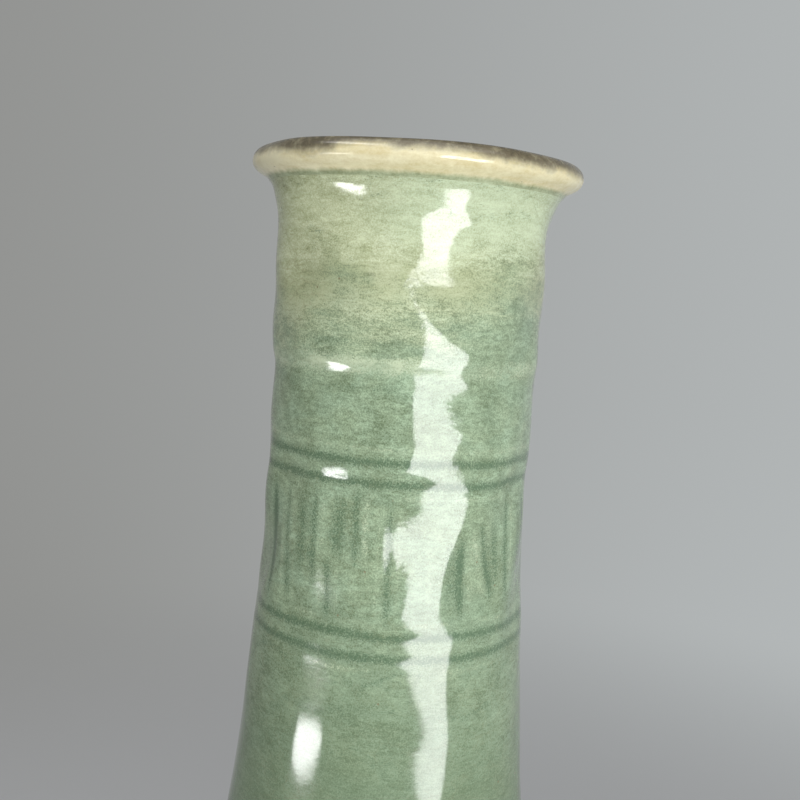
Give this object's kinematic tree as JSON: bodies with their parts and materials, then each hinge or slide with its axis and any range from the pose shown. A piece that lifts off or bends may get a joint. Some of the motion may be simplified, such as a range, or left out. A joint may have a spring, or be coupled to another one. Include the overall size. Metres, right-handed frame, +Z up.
{
  "type": "gall-bladder vase",
  "caption": "Celadon gall-bladder vase with a long carved neck, everted cream lip, drooping belly and ring foot, for holding cut flowers.",
  "frame": {"origin": "centre of the ring foot, on the surface that the vase stands on", "axes": "+Z up the axis of the vase, from the foot to the mouth"},
  "size_m": [0.106, 0.106, 0.2358],
  "materials": {
    "celadon_glaze": "glossy crackled celadon",
    "cream_glaze": "glossy cream with a dark brown edge",
    "stoneware": "matt fired clay",
    "foot_clay": "bare clay, burnt brown",
    "slip": "matt fired slip"
  },
  "bodies": {
    "root": {"mouth_section": "stoneware", "neck_section": "stoneware", "shoulder_section": "stoneware", "belly_section": "stoneware", "base_disc": "stoneware", "foot_ring": "foot_clay", "mouth_seam_slip": "slip", "neck_seam_slip": "slip", "belly_seam_slip": "slip", "foot_seam_slip": "slip", "base_seam_slip": "slip", "outer_glaze": "celadon_glaze", "inner_glaze": "celadon_glaze", "base_glaze": "celadon_glaze", "lip_glaze": "cream_glaze"}
  },
  "joints": []
}
